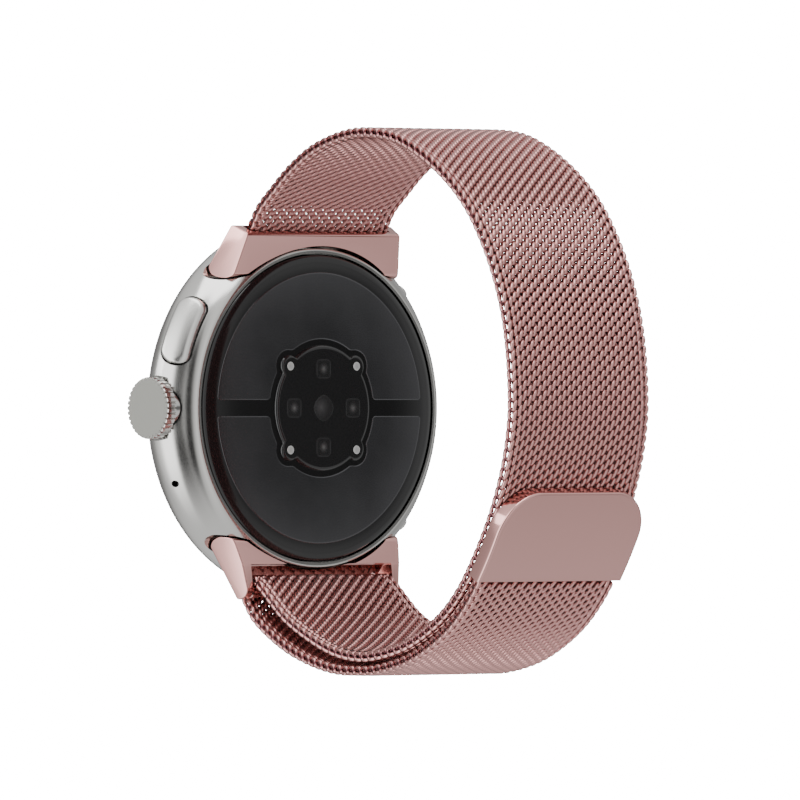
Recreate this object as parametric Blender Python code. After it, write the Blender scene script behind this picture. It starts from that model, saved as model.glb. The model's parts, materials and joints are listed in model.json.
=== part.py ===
"""A round smartwatch on a woven steel band, closed in a loop, as separate pieces.

The origin is the middle of the flat sensor window on the back. +X points to the crown (3 o'clock),
+Y out of the back towards the wrist and +Z to 12 o'clock. Numbers are millimetres until metres().
"""

import math

import bmesh
import bpy
from mathutils import Matrix, Vector

MM = 0.001
GAP = 0.1  # running clearance between pieces that sit in each other
CUT_R = 23.0  # a cutter or a blank reaches this far out, past every part of the case

# Case, turned about Y. Its profile is (radius, y).
STEPS = 64
CAVITY_R = 16.2
REAR_SEAT_R = 17.2
CRYSTAL_SEAT_R = 18.1
REAR_LEDGE_Y = (-2.75, -3.3)
CRYSTAL_SHELF_Y = -7.5
CASE_OUTSIDE = [
    (REAR_SEAT_R, -1.0), (17.7, -1.05), (18.4, -1.6), (19.0, -2.3), (19.7, -3.15), (20.2, -4.0),
    (20.5, -4.85), (20.6, -5.7), (20.35, -6.4), (19.8, -7.1), (19.1, -7.7), (18.5, -8.15),
]

# Back of the watch.
COVER_R = 17.1
COVER_HOLE_R = 5.6
COVER_BOTTOM_Y = -2.4
REAR_FACE = [(7.2, -0.36), (9.0, -0.37), (11.0, -0.44), (13.2, -0.56), (15.2, -0.71)]
ELECTRODE_R = (7.6, 15.15)
ELECTRODE_FLOOR_Y = -1.2
BAND_HALF = 0.85  # half the strip of cover between the two electrodes
WINDOW_R = 7.0
WINDOW_FLOOR_Y = -0.7
PIN_AT = (4.9, 4.65)
PIN_R = 0.5
EAR_R = 1.25
LED_AT = 4.35

# Crown, on +X.
CROWN_Y = -5.0
CROWN_TEETH = 35
KNOB_R = 3.45
KNOB_X = (20.2, 21.6)
COLLAR_R = 2.65
COLLAR_X = 18.65
STEM_R = 1.0
STEM_END = 20.7
CROWN_BORE_R = 1.95

# Side button, latches and sound holes: angle from +X towards +Z, and y.
BUTTON_ANGLE, BUTTON_Y = 26.0, -3.5
BUTTON_LENGTH, BUTTON_WIDTH = 8.0, 2.8
BUTTON_PROUD = 0.45
PLUNGER_Y = -4.2
LATCH_ANGLES = {"release_button_upper": 139.0, "release_button_lower": -139.0}
MICROPHONE_ANGLE, MICROPHONE_Y = -24.5, -4.0

# Adapters: outlines in (y, z), carried along X and then cut to the round of the case. Their ends spread
# by SPREAD for each mm towards the middle of the case, and by SLANT for each mm away from the wrist.
ADAPTER_HALF, ADAPTER_Z = 11.25, 20.0  # half length at y = 0 and this height
SPREAD, SLANT = 0.12, 0.29
CHEEK_INSIDE = 10.4
UPPER_ADAPTER = [
    (-4.6, 15.6), (-4.2, 14.85), (-3.4, 14.5), (-2.4, 14.35), (-1.65, 14.5), (-1.15, 14.85), (0.15, 19.3),
    (-2.1, 20.35),
]
UPPER_SLOT = [(-2.57, 18.1), (-1.13, 18.6), (0.22, 20.75), (-1.22, 21.45)]
LOWER_ADAPTER = [
    (-1.15, -14.75), (-1.6, -14.35), (-3.0, -14.2), (-3.9, -14.65), (-4.3, -15.3), (-1.45, -21.3),
    (-0.45, -20.9), (0.0, -20.2), (-0.4, -17.2),
]
LOWER_SLOT = [(0.8, -17.2), (-1.6, -17.35), (-2.9, -18.9), (-4.4, -19.3), (-4.4, -23.0), (1.5, -23.0)]
ADAPTER_CORE = (18.0, (-14.0, 1.0))  # radius, and heights
CHANNEL_CORE = (17.7, (-14.0, 1.0))
UPPER_PIN = (-1.62, 18.95)
UPPER_PIN_R = 0.35
LOWER_BAR = (-0.8, -20.4)
LOWER_BAR_R = 0.65

# Woven band: centre lines in (y, z).
BAND_HALF_WIDTH = 10.1
BAND_THICK = 1.2
FOLD_R = 1.35
FOLD_ANGLES = (58.0, 216.0)  # where the main run reaches the bar and where the tail leaves it
FOLD_GAP = 8.0
MAIN_RUN = [
    (-1.38, 19.4), (-0.74, 20.5), (0.45, 22.2), (2.69, 24.14), (5.24, 26.2), (8.46, 28.16), (11.86, 29.42),
    (15.66, 30.2), (19.36, 30.2), (22.56, 29.72), (25.27, 28.75), (27.9, 27.45), (30.5, 25.8), (33.0, 23.8),
    (35.1, 21.6), (36.8, 19.2), (38.3, 16.6), (39.5, 14.0), (40.6, 10.9), (41.3, 7.8), (41.75, 4.2),
    (41.9, 0.0), (41.5, -3.4), (40.7, -6.7), (39.45, -10.1), (37.9, -13.3), (36.0, -16.5), (33.8, -19.6),
    (31.1, -22.3), (28.0, -24.35), (24.4, -26.0), (20.3, -27.0), (16.7, -27.3), (12.6, -26.7), (8.4, -25.1),
    (4.8, -23.2), (2.5, -21.35), (0.9, -19.95),
]
TAIL_START = [(-0.38, -23.17), (2.2, -25.0), (5.63, -26.75), (9.75, -28.1), (13.3, -28.75)]
TAIL_OFFSET = 1.57  # between the centre lines where the tail lies on the main run
TAIL_LIES_FROM = (16.7, -27.3)
CLASP_ENDS = [(35.15, -17.7), (40.1, -8.4)]
CLASP_LAYER = (0.75, 2.45)  # offsets from the main run's centre line
CLASP_HALF_WIDTH = 10.6
CLASP_CORNER = 5.0
CLASP_WALL = 0.3

FINISHES = {
    "silver": ((0.62, 0.61, 0.60), 0.28, 1.0),
    "rose_gold": ((0.62, 0.34, 0.31), 0.25, 1.0),
    "steel": ((0.55, 0.55, 0.56), 0.35, 1.0),
    "black_gloss": ((0.012, 0.012, 0.013), 0.1, 0.0),
    "electrode": ((0.05, 0.05, 0.05), 0.25, 0.9),
    "glass": ((0.02, 0.02, 0.022), 0.05, 0.0),
    "rubber": ((0.02, 0.02, 0.02), 0.7, 0.0),
    "board": ((0.01, 0.09, 0.04), 0.5, 0.0),
    "plastic": ((0.05, 0.05, 0.05), 0.5, 0.0),
    "gold": ((0.8, 0.6, 0.25), 0.3, 1.0),
}

ABOUT_Y = Matrix.Rotation(-math.pi / 2, 4, "X")  # turns a shape built along Z to lie along +Y
ABOUT_X = Matrix.Rotation(math.pi / 2, 4, "Y")


def radial(degrees, y=0.0):
    """A frame at height y: Z runs outwards at this angle, X is -Y of the watch and Y is the tangent."""
    angle = math.radians(degrees)
    out = Vector((math.cos(angle), 0.0, math.sin(angle)))
    along = Vector((-math.sin(angle), 0.0, math.cos(angle)))
    across = along.cross(out)
    turn = Matrix((across, along, out)).transposed().to_4x4()
    return Matrix.Translation((0.0, y, 0.0)) @ turn


def clear_scene():
    for obj in list(bpy.data.objects):
        bpy.data.objects.remove(obj, do_unlink=True)


def coat(obj, finish):
    colour, roughness, metallic = FINISHES[finish]
    material = bpy.data.materials.new(obj.name)
    material.use_nodes = True
    shader = material.node_tree.nodes["Principled BSDF"]
    shader.inputs["Base Color"].default_value = (*colour, 1.0)
    shader.inputs["Roughness"].default_value = roughness
    shader.inputs["Metallic"].default_value = metallic
    obj.data.materials.append(material)


def metres(bm, name, finish, place=None, origin=(0.0, 0.0, 0.0)):
    """The object made from a shape in millimetres, moved to its place, with its origin at this point."""
    bmesh.ops.remove_doubles(bm, verts=bm.verts[:], dist=1e-5)
    bmesh.ops.transform(bm, matrix=place or Matrix.Identity(4), verts=bm.verts[:])
    bmesh.ops.translate(bm, vec=-Vector(origin), verts=bm.verts[:])
    bmesh.ops.recalc_face_normals(bm, faces=bm.faces[:])
    bmesh.ops.scale(bm, vec=(MM, MM, MM), verts=bm.verts[:])
    mesh = bpy.data.meshes.new(name)
    bm.to_mesh(mesh)
    bm.free()
    obj = bpy.data.objects.new(name, mesh)
    obj.location = Vector(origin) * MM
    bpy.context.scene.collection.objects.link(obj)
    mesh.shade_smooth()
    mesh.set_sharp_from_angle(angle=math.radians(35))
    if finish:
        coat(obj, finish)
    return obj


def turned(name, finish, profile, place=ABOUT_Y, steps=STEPS, origin=(0.0, 0.0, 0.0)):
    """A closed profile of (radius, height) carried once round the axis."""
    bm = bmesh.new()
    points = [bm.verts.new((radius, 0.0, height)) for radius, height in profile]
    sides = [(a, b) for a, b in zip(points, points[1:] + points[:1]) if a.co.x > 0 or b.co.x > 0]
    edges = [bm.edges.new(side) for side in sides]
    bmesh.ops.spin(
        bm, geom=points + edges, cent=(0, 0, 0), axis=(0, 0, 1), angle=2 * math.pi, steps=steps,
        use_merge=True, use_duplicate=False,
    )
    return metres(bm, name, finish, place, origin)


def ring(name, finish, radii, heights, place=ABOUT_Y, steps=STEPS, origin=(0.0, 0.0, 0.0)):
    """A plain ring, or a disc where the inner radius is 0."""
    (inner, outer), (low, high) = radii, heights
    profile = [(inner, low), (outer, low), (outer, high), (inner, high)]
    return turned(name, finish, profile, place, steps, origin)


def extruded(name, finish, outline, low, high, place=None, origin=(0.0, 0.0, 0.0)):
    """An outline of (y, z) points carried along X from low to high."""
    bm = bmesh.new()
    face = bm.faces.new([bm.verts.new((low, y, z)) for y, z in outline])
    moved = bmesh.ops.extrude_face_region(bm, geom=[face])["geom"]
    verts = [item for item in moved if isinstance(item, bmesh.types.BMVert)]
    bmesh.ops.translate(bm, vec=(high - low, 0, 0), verts=verts)
    return metres(bm, name, finish, place, origin)


def adapter_bar(name, finish, outline, extra=0.0):
    """An outline of (y, z) points carried along X between the slanted ends of an adapter, plus extra."""
    bm = bmesh.new()
    halves = [ADAPTER_HALF + SPREAD * (ADAPTER_Z - abs(z)) - SLANT * y + extra for y, z in outline]
    near, far = (
        [bm.verts.new((side * half, y, z)) for half, (y, z) in zip(halves, outline)] for side in (-1, 1)
    )
    for i in range(len(outline)):
        bm.faces.new((near[i - 1], near[i], far[i], far[i - 1]))
    bm.faces.new(near[::-1])
    bm.faces.new(far)
    return metres(bm, name, finish)


def block(name, finish, lows, highs, bevel=0.0, place=None, origin=(0.0, 0.0, 0.0)):
    """A box between two corners, with its edges rounded off where bevel is given."""
    bm = bmesh.new()
    bmesh.ops.create_cube(bm, size=1.0)
    low, high = Vector(lows), Vector(highs)
    bmesh.ops.scale(bm, vec=high - low, verts=bm.verts[:])
    bmesh.ops.translate(bm, vec=(low + high) / 2, verts=bm.verts[:])
    if bevel:
        bmesh.ops.bevel(bm, geom=bm.edges[:], offset=bevel, segments=1, affect="EDGES")
    return metres(bm, name, finish, place, origin)


def pill(name, finish, length, width, low, high, place, origin=(0.0, 0.0, 0.0)):
    """A prism along local Z with round ends, its length along local Y."""
    arc = [math.radians(15 * step) for step in range(13)]
    straight = (length - width) / 2
    top = [(width / 2 * math.cos(a), straight + width / 2 * math.sin(a)) for a in arc]
    outline = top + [(-x, -y) for x, y in top]
    bm = bmesh.new()
    face = bm.faces.new([bm.verts.new((x, y, low)) for x, y in outline])
    moved = bmesh.ops.extrude_face_region(bm, geom=[face])["geom"]
    verts = [item for item in moved if isinstance(item, bmesh.types.BMVert)]
    bmesh.ops.translate(bm, vec=(0, 0, high - low), verts=verts)
    return metres(bm, name, finish, place, origin)


def combine(obj, operation, *others):
    """Booleans of other solids, which stay in the file as hidden wire guides."""
    for other in others:
        other.hide_render = True
        other.display_type = "WIRE"
        modifier = obj.modifiers.new(other.name, "BOOLEAN")
        modifier.operation = operation
        modifier.solver = "EXACT"
        modifier.object = other
    return obj


def grown(outline, gap):
    """The same outline with every side moved outwards by gap."""
    points = [Vector(point) for point in outline]
    area = sum(a.cross(b) for a, b in zip(points, points[1:] + points[:1]))
    sign = 1 if area > 0 else -1
    result = []
    for before, here, after in zip(points[-1:] + points[:-1], points, points[1:] + points[:1]):
        first, second = (here - before).normalized(), (after - here).normalized()
        normal_1 = Vector((first.y, -first.x)) * sign
        normal_2 = Vector((second.y, -second.x)) * sign
        middle = (normal_1 + normal_2).normalized()
        result.append(tuple(here + middle * gap / middle.dot(normal_1)))
    return result


def smooth(points, spans):
    """A Catmull-Rom curve through these points, with this many steps from each to the next."""
    points = [Vector(point) for point in points]
    points = [2 * points[0] - points[1]] + points + [2 * points[-1] - points[-2]]
    curve = []
    for a, b, c, d in zip(points, points[1:], points[2:], points[3:]):
        for step in range(spans):
            t = step / spans
            square, cube = 2 * a - 5 * b + 4 * c - d, 3 * b - a - 3 * c + d
            curve.append((2 * b + (c - a) * t + square * t**2 + cube * t**3) / 2)
    return curve + [points[-2]]


def normals(path):
    """Unit vectors on the left of a path, which is the outside of the closed band."""
    sides = [(b - a) for a, b in zip(path, path[1:])]
    ahead = [sides[0]] + [(a + b) / 2 for a, b in zip(sides, sides[1:])] + [sides[-1]]
    return [Vector((-side.y, side.x)).normalized() for side in ahead]


def stretch(path, first, last):
    """The part of a path between the points nearest to these two."""
    start = min(range(len(path)), key=lambda i: (path[i] - Vector(first)).length)
    stop = min(range(len(path)), key=lambda i: (path[i] - Vector(last)).length)
    return (start, stop + 1) if start < stop else (stop, start + 1)


def layer(name, finish, path, sides, offsets, half_widths, origin=(0.0, 0.0, 0.0)):
    """A strip along a path in (y, z), between two offsets from it, with a half width for each point."""
    bm = bmesh.new()
    loops = []
    for point, side, half in zip(path, sides, half_widths):
        low, high = point + side * offsets[0], point + side * offsets[1]
        corners = [(-half, *low), (half, *low), (half, *high), (-half, *high)]
        loops.append([bm.verts.new(corner) for corner in corners])
    for one, two in zip(loops, loops[1:]):
        for i in range(4):
            j = (i + 1) % 4
            bm.faces.new((one[i], one[j], two[j], two[i]))
    bm.faces.new(loops[0])
    bm.faces.new(loops[-1][::-1])
    return metres(bm, name, finish, None, origin)


def make_case():
    inside = [
        (CRYSTAL_SEAT_R, -8.12), (CRYSTAL_SEAT_R, CRYSTAL_SHELF_Y), (CAVITY_R, CRYSTAL_SHELF_Y),
        (CAVITY_R, REAR_LEDGE_Y[1]), (15.4, REAR_LEDGE_Y[1]), (15.4, REAR_LEDGE_Y[0]),
        (REAR_SEAT_R, REAR_LEDGE_Y[0]),
    ]
    case = turned("case_shell", "silver", CASE_OUTSIDE + inside)
    for side, outline in (("upper", UPPER_ADAPTER), ("lower", LOWER_ADAPTER)):
        channel = adapter_bar(f"{side}_channel", None, grown(outline, 0.25), 1.5)
        radius, heights = CHANNEL_CORE
        combine(channel, "DIFFERENCE", ring(f"{side}_channel_core", None, (0.0, radius), heights))
        combine(case, "DIFFERENCE", channel)
    seat_x = KNOB_X[0] - 0.45  # leaves room for the crown's press
    crown_hole = [
        (0.0, 14.5), (CROWN_BORE_R, 14.5), (CROWN_BORE_R, 18.2), (COLLAR_R + 0.2, 18.2),
        (COLLAR_R + 0.2, seat_x), (KNOB_R + 0.2, seat_x), (KNOB_R + 0.2, CUT_R), (0.0, CUT_R),
    ]
    at_crown = Matrix.Translation((0, CROWN_Y, 0)) @ ABOUT_X
    combine(case, "DIFFERENCE", turned("crown_hole", None, crown_hole, at_crown, 24))
    at_button, at_plunger = radial(BUTTON_ANGLE, BUTTON_Y), radial(BUTTON_ANGLE, PLUNGER_Y)
    pocket = pill("button_pocket", None, BUTTON_LENGTH + 0.5, BUTTON_WIDTH + 0.5, 17.8, CUT_R, at_button)
    counterbore = [(0.0, 15.0), (0.85, 15.0), (0.85, 17.2), (1.3, 17.2), (1.3, 18.5), (0.0, 18.5)]
    combine(case, "DIFFERENCE", pocket, turned("plunger_hole", None, counterbore, at_plunger, 24))
    for name, angle in LATCH_ANGLES.items():
        hole = [(0.0, 15.0), (0.6, 15.0), (0.6, 17.9), (1.25, 17.9), (1.25, CUT_R), (0.0, CUT_R)]
        combine(case, "DIFFERENCE", turned(f"{name}_hole", None, hole, radial(angle, PLUNGER_Y), 24))
    sound = radial(MICROPHONE_ANGLE, MICROPHONE_Y)
    combine(case, "DIFFERENCE", ring("microphone_hole", None, (0.0, 0.4), (15.0, CUT_R), sound, 16))
    speaker_port = pill("speaker_port", None, 4.5, 0.8, 15.0, CUT_R, radial(180.0, -4.6))
    combine(case, "DIFFERENCE", speaker_port)


def make_front():
    crystal = [
        (0.0, -9.6), (13.0, -9.6), (15.6, -8.5), (16.6, -7.9), (18.0, -7.9), (18.0, -8.25), (17.0, -9.05),
        (15.5, -9.95), (13.0, -11.0), (10.0, -11.7), (6.0, -12.2), (0.0, -12.4),
    ]
    turned("front_crystal", "glass", crystal, steps=48)
    ring("crystal_gasket", "rubber", (16.45, 17.9), (-7.85, -7.55), steps=32)
    ring("display_panel", "glass", (0.0, 13.0), (-9.3, -8.8), steps=32)
    ring("display_bracket", "steel", (9.0, 15.2), (-8.5, -8.1), steps=32)


def make_inside():
    ring("main_board", "board", (0.0, 15.4), (-7.5, -7.0), steps=32)
    block("processor_shield", "steel", (-6, -6.9, -6), (6, -5.75, 6), 0.2)
    block("battery", "plastic", (-9, -5.6, -8.5), (9, -3.5, 8.5), 0.3)
    block("speaker_module", "plastic", (-14.9, -6.8, -3.4), (-10, -3.5, 3.4), 0.3)
    block("microphone", "steel", (12.0, -5.0, -7.4), (14.0, -3.6, -5.2), 0.1)
    flex = [(-2.8, 3.0), (-2.8, 10.6), (-6.9, 10.6), (-6.9, 10.45), (-2.95, 10.45), (-2.95, 3.0)]
    extruded("sensor_flex", "board", flex, -3.0, 3.0)
    housing = block("haptic_housing", "steel", (-7, -6.6, -13.2), (5, -3.5, -9.4))
    combine(housing, "DIFFERENCE", block("haptic_hollow", None, (-6.7, -7.5, -12.9), (4.7, -3.8, -9.7)))
    centre = (-1.0, -5.2, -11.3)
    block("haptic_mass", "gold", (-5.8, -6.3, -12.6), (3.8, -4.1, -10.0), 0.15, None, centre)


def make_back():
    """The glassy cover with its two steel electrodes, the sensor window and what lies under it."""
    outer = REAR_FACE + [(COVER_R, -0.92), (COVER_R, COVER_BOTTOM_Y)]
    recess = [(COVER_HOLE_R, COVER_BOTTOM_Y), (COVER_HOLE_R, -0.8), (7.2, -0.8)]
    cover = turned("rear_cover", "black_gloss", outer + recess)
    pins = [(x * PIN_AT[0], z * PIN_AT[1]) for x in (-1, 1) for z in (-1, 1)]

    def at_pin(x, z):
        return Matrix.Translation((x, 0, z)) @ ABOUT_Y

    def ears(name, radius, low, high):
        return [
            ring(f"{name}_{i}", None, (0.0, radius), (low, high), at_pin(*at), 14)
            for i, at in enumerate(pins)
        ]

    combine(cover, "DIFFERENCE", *ears("ear_recess", EAR_R + 0.15, -0.8, 1.0))
    combine(cover, "DIFFERENCE", *ears("cover_pin_hole", PIN_R + GAP, -3.0, 1.0))
    for side, sign in (("upper", 1), ("lower", -1)):
        floor = ELECTRODE_FLOOR_Y - GAP
        inner, outer_r = ELECTRODE_R[0] - 0.15, ELECTRODE_R[1] + 0.15
        pocket = ring(f"{side}_pocket", None, (inner, outer_r), (floor, 0.5))
        away = sorted((sign * (BAND_HALF - GAP), -sign * 20.0))
        beyond = block(f"{side}_pocket_cut", None, (-20, -5, away[0]), (20, 5, away[1]))
        combine(pocket, "DIFFERENCE", beyond)
        combine(pocket, "DIFFERENCE", *ears(f"{side}_pocket_ear", EAR_R + 0.35, -3.0, 1.0))
        combine(cover, "DIFFERENCE", pocket)
        face = [(ELECTRODE_R[0], -0.36)] + REAR_FACE[1:-1] + [(ELECTRODE_R[1], -0.7)]
        floor_points = [(ELECTRODE_R[1], ELECTRODE_FLOOR_Y), (ELECTRODE_R[0], ELECTRODE_FLOOR_Y)]
        electrode = turned(f"electrode_{side}", "electrode", face + floor_points)
        away = sorted((sign * BAND_HALF, -sign * 20.0))
        combine(electrode, "DIFFERENCE", block(f"{side}_half", None, (-20, -5, away[0]), (20, 5, away[1])))
        combine(electrode, "DIFFERENCE", *ears(f"{side}_notch", EAR_R + 0.5, -3.0, 1.0))
    rim = [(0.0, 0.0), (6.6, 0.0), (6.92, -0.12), (WINDOW_R, -0.35)]
    floor = [(WINDOW_R, WINDOW_FLOOR_Y), (0.0, WINDOW_FLOOR_Y)]
    window = turned("sensor_window", "black_gloss", rim + floor)
    combine(window, "UNION", *ears("ear", EAR_R, WINDOW_FLOOR_Y + 0.05, -0.05))
    combine(window, "DIFFERENCE", *ears("window_pin_hole", PIN_R + GAP, -3.0, 1.0))
    ring("rear_gasket", "rubber", (15.7, 16.9), (-2.7, -2.45), steps=32)
    ring("sensor_board", "board", (0.0, 5.3), (-2.45, -1.75), steps=24)
    ring("photodiode", "glass", (0.0, 1.35), (-1.65, -1.0), steps=24)
    for name, x, z in (("top", 0, 1), ("bottom", 0, -1), ("left", -1, 0), ("right", 1, 0)):
        low = (x * LED_AT - 0.85, -1.65, z * LED_AT - 0.85)
        high = (x * LED_AT + 0.85, -1.0, z * LED_AT + 0.85)
        block(f"led_{name}", "glass", low, high, 0.1)
    for i, at in enumerate(pins):
        ring(f"charge_pin_{i + 1}", "gold", (0.0, PIN_R), (-2.9, -0.02), at_pin(*at), 12)


def make_crown():
    """The knob and its stem turn together in a sliding carrier, which presses the switch."""
    at = Matrix.Translation((0, CROWN_Y, 0)) @ ABOUT_X
    origin = (0.0, CROWN_Y, 0.0)
    ring("crown_bush", "gold", (STEM_R + GAP, CROWN_BORE_R - GAP), (15.6, 17.2), at, 24)
    ring("crown_oring", "rubber", (STEM_R + 0.08, CROWN_BORE_R - GAP), (17.3, 17.8), at, 24)
    block("crown_encoder", "plastic", (14.25, -3.45, -1.2), (14.95, -2.85, 1.2))
    block("crown_switch", "plastic", (10.2, -6.3, -2.0), (12.5, -3.7, 2.0), 0.2)
    carrier = block("crown_carrier", "plastic", (12.9, -6.6, -1.8), (14.1, -3.4, 1.8), 0.0, None, origin)
    combine(carrier, "DIFFERENCE", ring("carrier_bore", None, (0.0, 0.7), (12.0, 15.0), at, 24))
    stem = [(0.0, 13.1), (0.6, 13.1), (0.6, 14.2), (STEM_R, 14.2), (STEM_R, STEM_END), (0.0, STEM_END)]
    turned("crown_stem", "steel", stem, at, 24, origin)
    ring("crown_clip", "steel", (STEM_R + 0.05, 1.45), (15.1, 15.35), at, 24, origin)
    make_knob(at, origin)


def make_knob(at, origin):
    """A stack of rings of two points a tooth: (tooth radius, valley radius, height)."""
    bore = STEM_R + GAP
    rings = [
        (bore, bore, STEM_END + GAP), (bore, bore, COLLAR_X), (COLLAR_R, COLLAR_R, COLLAR_X),
        (COLLAR_R, COLLAR_R, KNOB_X[0]), (KNOB_R, KNOB_R - 0.22, KNOB_X[0]),
        (KNOB_R, KNOB_R - 0.22, KNOB_X[1] - 0.25), (KNOB_R - 0.25, KNOB_R - 0.35, KNOB_X[1]),
    ]
    bm = bmesh.new()
    count = 2 * CROWN_TEETH
    loops = []
    for tooth, valley, height in rings:
        loop = []
        for i in range(count):
            radius, angle = (valley if i % 2 else tooth), math.pi * i / CROWN_TEETH
            loop.append(bm.verts.new((radius * math.cos(angle), radius * math.sin(angle), height)))
        loops.append(loop)
    for one, two in zip(loops, loops[1:]):
        for i in range(count):
            j = (i + 1) % count
            bm.faces.new((one[i], one[j], two[j], two[i]))
    bm.faces.new(loops[0][::-1])
    bm.faces.new(loops[-1])
    metres(bm, "crown_knob", "silver", at, origin)


def make_buttons():
    at_button, at_plunger = radial(BUTTON_ANGLE, BUTTON_Y), radial(BUTTON_ANGLE, PLUNGER_Y)
    button = pill("side_button", "silver", BUTTON_LENGTH, BUTTON_WIDTH, 18.15, CUT_R, at_button)
    skin = [(radius + BUTTON_PROUD, y) for radius, y in CASE_OUTSIDE] + [(10.0, -8.15), (10.0, -1.0)]
    combine(button, "INTERSECT", turned("button_skin", None, skin))
    combine(button, "UNION", ring("plunger", None, (0.0, 0.7), (14.8, 18.5), at_plunger, 16))
    ring("button_oring", "rubber", (0.72, 1.2), (17.3, 17.7), at_plunger, 24)
    ring("button_clip", "steel", (0.75, 1.15), (15.0, 15.25), at_plunger, 16)
    block("button_switch", "plastic", (-1.1, -1.5, 13.0), (1.1, 1.5, 14.4), 0.15, at_plunger)
    for name, angle in LATCH_ANGLES.items():
        rod = [(0.0, 15.4), (0.45, 15.4), (0.45, 18.6)]
        latch = rod + [(1.0, 18.6), (1.0, 19.95), (0.85, 20.1), (0.0, 20.1)]
        turned(name, "silver", latch, radial(angle, PLUNGER_Y), 24)


def make_adapters():
    parts = (("upper", UPPER_ADAPTER, UPPER_SLOT), ("lower", LOWER_ADAPTER, LOWER_SLOT))
    for side, outline, slot in parts:
        adapter = adapter_bar(f"{side}_adapter", "rose_gold", outline)
        radius, heights = ADAPTER_CORE
        combine(adapter, "DIFFERENCE", ring(f"{side}_adapter_core", None, (0.0, radius), heights))
        combine(adapter, "DIFFERENCE", extruded(f"{side}_slot", None, slot, -CHEEK_INSIDE, CHEEK_INSIDE))
    bars = (("upper_pin", UPPER_PIN, UPPER_PIN_R), ("lower_bar", LOWER_BAR, LOWER_BAR_R))
    for name, (y, z), radius in bars:
        at = Matrix.Translation((0, y, z)) @ ABOUT_X
        length = CHEEK_INSIDE - GAP
        ring(name, "rose_gold", (0.0, radius), (-length, length), at, 24)


def round_the_bar(first, last, steps):
    """Points on the fold's centre line about the lower bar, between two angles."""
    bar = Vector(LOWER_BAR)
    angles = [math.radians(first + (last - first) * i / steps) for i in range(steps + 1)]
    return [bar + FOLD_R * Vector((math.cos(a), math.sin(a))) for a in angles]


def make_band():
    half = BAND_THICK / 2
    first, last = FOLD_ANGLES
    main = smooth(MAIN_RUN + [tuple(p) for p in round_the_bar(first, first, 1)[:1]], 2)
    outside = normals(main)
    width = [BAND_HALF_WIDTH] * len(main)
    layer("mesh_main", "rose_gold", main, outside, (-half, half), width)
    fold = round_the_bar(first + FOLD_GAP, last - FOLD_GAP, 12)
    layer("mesh_fold", "rose_gold", fold, normals(fold), (-half, half), width)
    pivot = (0.0, *LOWER_BAR)
    start, stop = stretch(main, CLASP_ENDS[0], TAIL_LIES_FROM)
    lying = [main[i] + outside[i] * TAIL_OFFSET for i in range(start - 1, stop)]
    tail = smooth([tuple(round_the_bar(last, last, 1)[0])] + TAIL_START, 2)[:-1]
    tail = tail + [Vector(TAIL_START[-1])] + lying[::-1]
    layer("mesh_tail", "rose_gold", tail, normals(tail), (-0.55, 0.55), width, pivot)
    make_clasp(main, pivot)


def make_clasp(main, pivot):
    """A shell over the tail's end, a plate that closes it and three magnets between them."""
    start, stop = stretch(main, CLASP_ENDS[1], CLASP_ENDS[0])
    path = smooth(main[start:stop + 1], 2)  # one point of the main run past the clasp's lower edge
    sides = normals(path)
    lengths = [0.0]
    for a, b in zip(path, path[1:]):
        lengths.append(lengths[-1] + (b - a).length)

    def half_widths(edge):
        """Straight sides with round corners at the end away from the tail."""
        radius, halves = CLASP_CORNER - edge, []
        for length in lengths:
            short = max(radius - max(length - edge, 0.0), 0.0)
            halves.append(CLASP_HALF_WIDTH - edge - radius + math.sqrt(max(radius**2 - short**2, 0.0)))
        return halves

    def part(name, finish, span, offsets, halves, x=0.0):
        halves = halves if isinstance(halves, list) else [halves] * len(path)
        obj = layer(name, finish, path[span], sides[span], offsets, halves[span], pivot)
        obj.location.x += x * MM
        return obj

    low, high = CLASP_LAYER
    shell = part("clasp_shell", "rose_gold", slice(0, -2), (low, high), half_widths(0.0))
    room = part("clasp_room", None, slice(1, None), (low - 1, high - CLASP_WALL), half_widths(0.4))
    combine(shell, "DIFFERENCE", room)
    part("clasp_plate", "steel", slice(2, -3), (low, low + 0.2), half_widths(0.55))
    for i, x in enumerate((-6.3, 0.0, 6.3)):
        part(f"clasp_magnet_{i + 1}", "steel", slice(3, 8), (low + 0.3, high - 0.4), 2.6, x)


def main():
    clear_scene()
    make_case()
    make_front()
    make_inside()
    make_back()
    make_crown()
    make_buttons()
    make_adapters()
    make_band()


main()
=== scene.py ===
"""A round smartwatch on a woven steel band, closed in a loop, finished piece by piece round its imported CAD.

Sizes are in millimetres in the CAD's frame: the origin is the middle of the sensor window on the back,
+X points to the crown, +Y out of the back and +Z to 12 o'clock. Meshes are stored in metres.
"""

import json
import math

import bmesh
import bpy
import numpy as np
from mathutils import Matrix, Vector


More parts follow.
